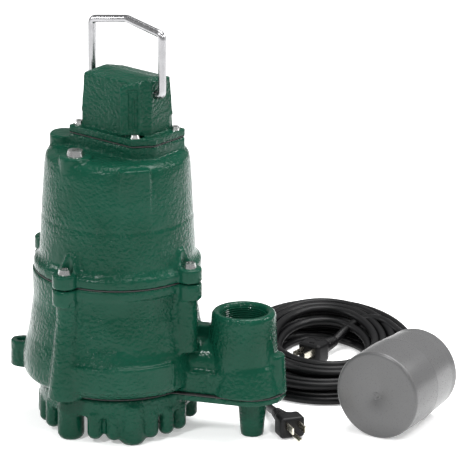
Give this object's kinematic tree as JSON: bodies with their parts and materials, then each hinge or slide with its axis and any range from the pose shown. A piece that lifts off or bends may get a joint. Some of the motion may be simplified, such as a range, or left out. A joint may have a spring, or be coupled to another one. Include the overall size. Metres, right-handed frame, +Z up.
{
  "type": "submersible sump pump",
  "caption": "Cast iron submersible sump pump with a lifting handle, threaded upright discharge, coiled power cord and tethered float switch with a stacking plug.",
  "frame": {"origin": "on the floor, under the motor shaft", "axes": "+Z up along the shaft, +X from the shaft towards the discharge port"},
  "size_m": [0.422, 0.4203, 0.4076],
  "materials": {
    "cast_paint": "glossy enamel over sand cast iron",
    "gasket_rubber": "moulded gasket",
    "plated_steel": "bright zinc plating",
    "handle_steel": "drawn stainless bar",
    "machined_iron": "machined cast iron",
    "ground_steel": "ground steel",
    "seal_ceramic": "lapped ceramic",
    "seal_carbon": "carbon graphite",
    "lamination": "stacked laminations",
    "rotor_aluminium": "die cast",
    "winding": "varnished copper wire",
    "phenolic": "moulded phenolic",
    "gland_brass": "machined brass",
    "float_plastic": "satin moulded plastic",
    "cord_rubber": "black cord jacket",
    "blade_brass": "stamped brass"
  },
  "bodies": {
    "root": {"base_cover": "cast_paint", "pump_housing": "cast_paint", "motor_housing": "cast_paint", "switch_cap": "cast_paint", "base_gasket": "gasket_rubber", "joint_gasket": "gasket_rubber", "cap_gasket": "gasket_rubber", "cord_grommet": "gasket_rubber", "base_screws": "plated_steel", "housing_screws": "plated_steel", "cap_screws": "plated_steel", "oil_plug": "plated_steel", "capacitor_clip": "plated_steel", "bearing_bracket": "machined_iron", "wave_spring": "ground_steel", "lower_bearing_outer_race": "ground_steel", "lower_bearing_balls": "ground_steel", "upper_bearing_outer_race": "ground_steel", "upper_bearing_balls": "ground_steel", "seal_seat": "seal_ceramic", "stator_core": "lamination", "capacitor": "rotor_aluminium", "lower_winding": "winding", "upper_winding": "winding", "terminal_block": "phenolic", "overload_protector": "phenolic", "cord_gland": "gland_brass", "power_cord_lead": "cord_rubber", "power_cord_coil": "cord_rubber", "power_cord_tail": "cord_rubber", "float_cord_lead": "cord_rubber", "float_cord_coil": "cord_rubber", "float_cord_tail": "cord_rubber", "power_plug": "cord_rubber", "piggyback_plug": "cord_rubber", "power_plug_blades": "blade_brass", "power_plug_ground_pin": "blade_brass", "piggyback_plug_blades": "blade_brass", "piggyback_plug_ground_pin": "blade_brass"},
    "rotor": {"shaft": "ground_steel", "impeller": "machined_iron", "impeller_nut": "plated_steel", "impeller_washer": "plated_steel", "seal_ring": "seal_carbon", "seal_spring": "ground_steel", "seal_collar": "ground_steel", "rotor_core": "lamination", "rotor_end_rings": "rotor_aluminium", "lower_bearing_inner_race": "ground_steel", "upper_bearing_inner_race": "ground_steel"},
    "handle": {"lifting_handle": "handle_steel"},
    "float": {"float_shell_front": "float_plastic", "float_shell_rear": "float_plastic", "float_weight": "machined_iron", "switch_capsule": "float_plastic", "float_boot": "cord_rubber"},
    "ball": {"switch_ball": "ground_steel"},
    "lever": {"switch_lever": "gland_brass"}
  },
  "joints": [
    {"name": "rotor_spin", "type": "hinge", "parent": "root", "child": "rotor", "pos_m": [0, 0, 0.15], "axis": [0, 0, 1], "continuous": true},
    {"name": "handle_swing", "type": "hinge", "parent": "root", "child": "handle", "pos_m": [0.009, 0.0025, 0.336], "axis": [0.9272, -0.3746, 0], "range_deg": [-80, 80]},
    {"name": "float_tilt", "type": "hinge", "parent": "root", "child": "float", "pos_m": [0.27406, 0.12482, 0.0435], "axis": [-0.9789, 0.2045, 0], "range_deg": [0, 45]},
    {"name": "ball_roll", "type": "slide", "parent": "float", "child": "ball", "axis": [0.2045, 0.9789, 0], "range_m": [0, 0.018]},
    {"name": "lever_press", "type": "hinge", "parent": "float", "child": "lever", "pos_m": [0.27442, 0.08348, 0.04166], "axis": [-0.2002, 0.0418, -0.9789], "range_deg": [0, 10], "stiffness_Nm_per_rad": 0.05}
  ]
}
